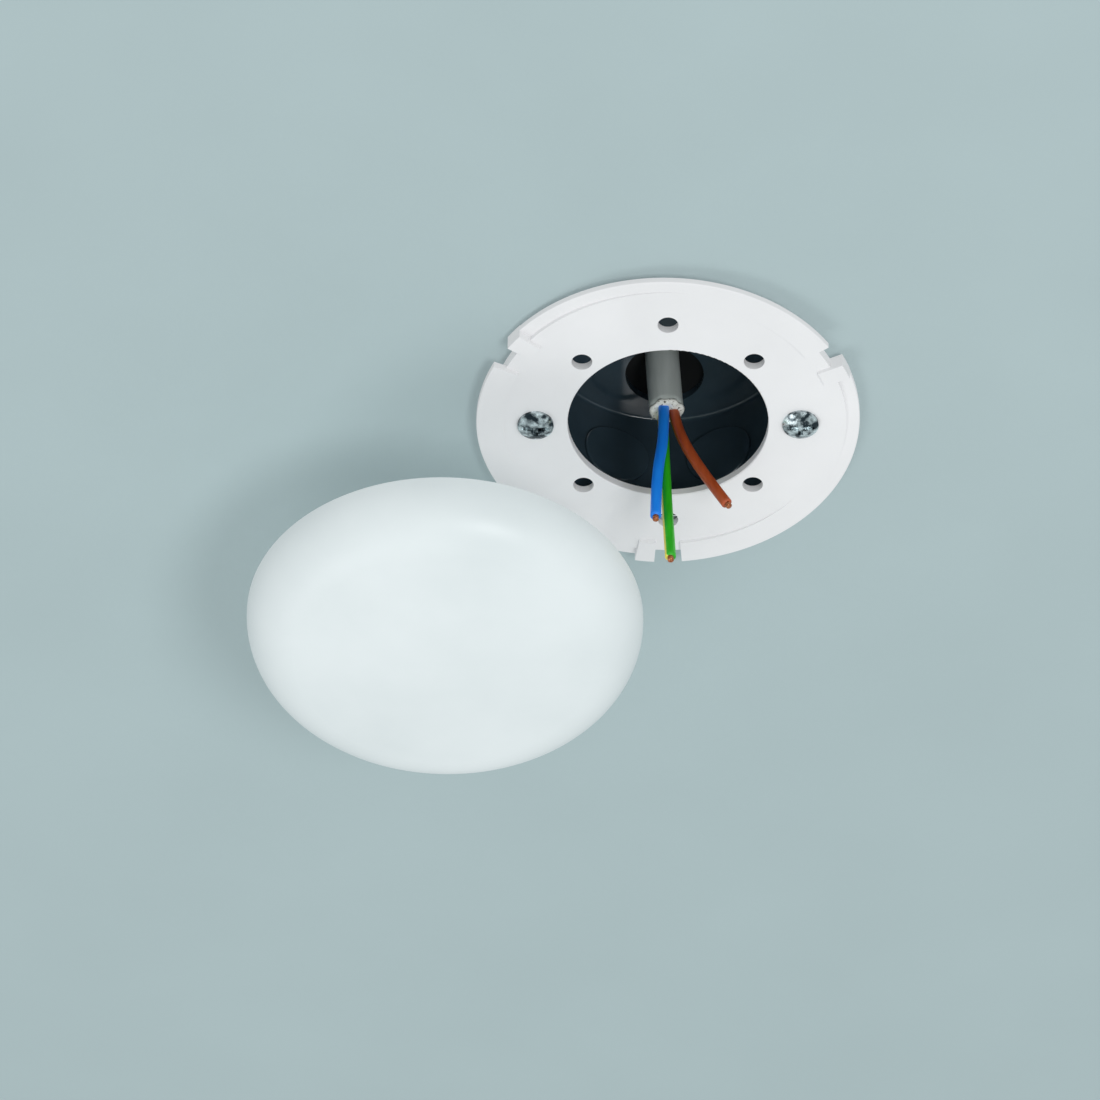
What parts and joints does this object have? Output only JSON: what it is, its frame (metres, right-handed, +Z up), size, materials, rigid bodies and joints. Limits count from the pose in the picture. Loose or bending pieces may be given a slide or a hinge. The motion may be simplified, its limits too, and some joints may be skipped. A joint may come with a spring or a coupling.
{
  "type": "ceiling junction box",
  "caption": "Round ceiling junction box: flush box with cable entry, screwed mounting plate with bayonet edge, and its dome cover taken off beside it.",
  "frame": {"origin": "axis of the flush box at the ceiling face, level with the mouth of the box and the back of the plate's ring", "axes": "+Z up into the ceiling along the box axis, X through the two plate screws, +Y towards the cable entry and the cover"},
  "size_m": [0.139, 0.1186, 0.115],
  "materials": {
    "black_plastic": "slightly glossy",
    "white_plastic": "satin",
    "plated_steel": "bright plated",
    "grey_sheath": "matt",
    "cream_filler": "matt",
    "blue_insulation": "satin",
    "green_insulation": "satin",
    "brown_insulation": "satin",
    "copper": "cut metal"
  },
  "bodies": {
    "ceiling_set": {"flush_box": "black_plastic", "mounting_plate": "white_plastic", "plate_screws": "plated_steel", "cable_sheath": "grey_sheath", "cable_bedding": "cream_filler", "blue_core": "blue_insulation", "earth_core": "green_insulation", "brown_core": "brown_insulation", "blue_conductor": "copper", "earth_conductor": "copper", "brown_conductor": "copper"},
    "cover": {"dome_cover": "white_plastic"}
  },
  "joints": [
    {"name": "cover_offer", "type": "slide", "parent": "ceiling_set", "child": "cover", "axis": [0.761, -0.4557, 0.4617], "range_m": [0, 0.06649], "deforming": ["blue_core", "earth_core", "brown_core", "blue_conductor", "earth_conductor", "brown_conductor"]}
  ]
}
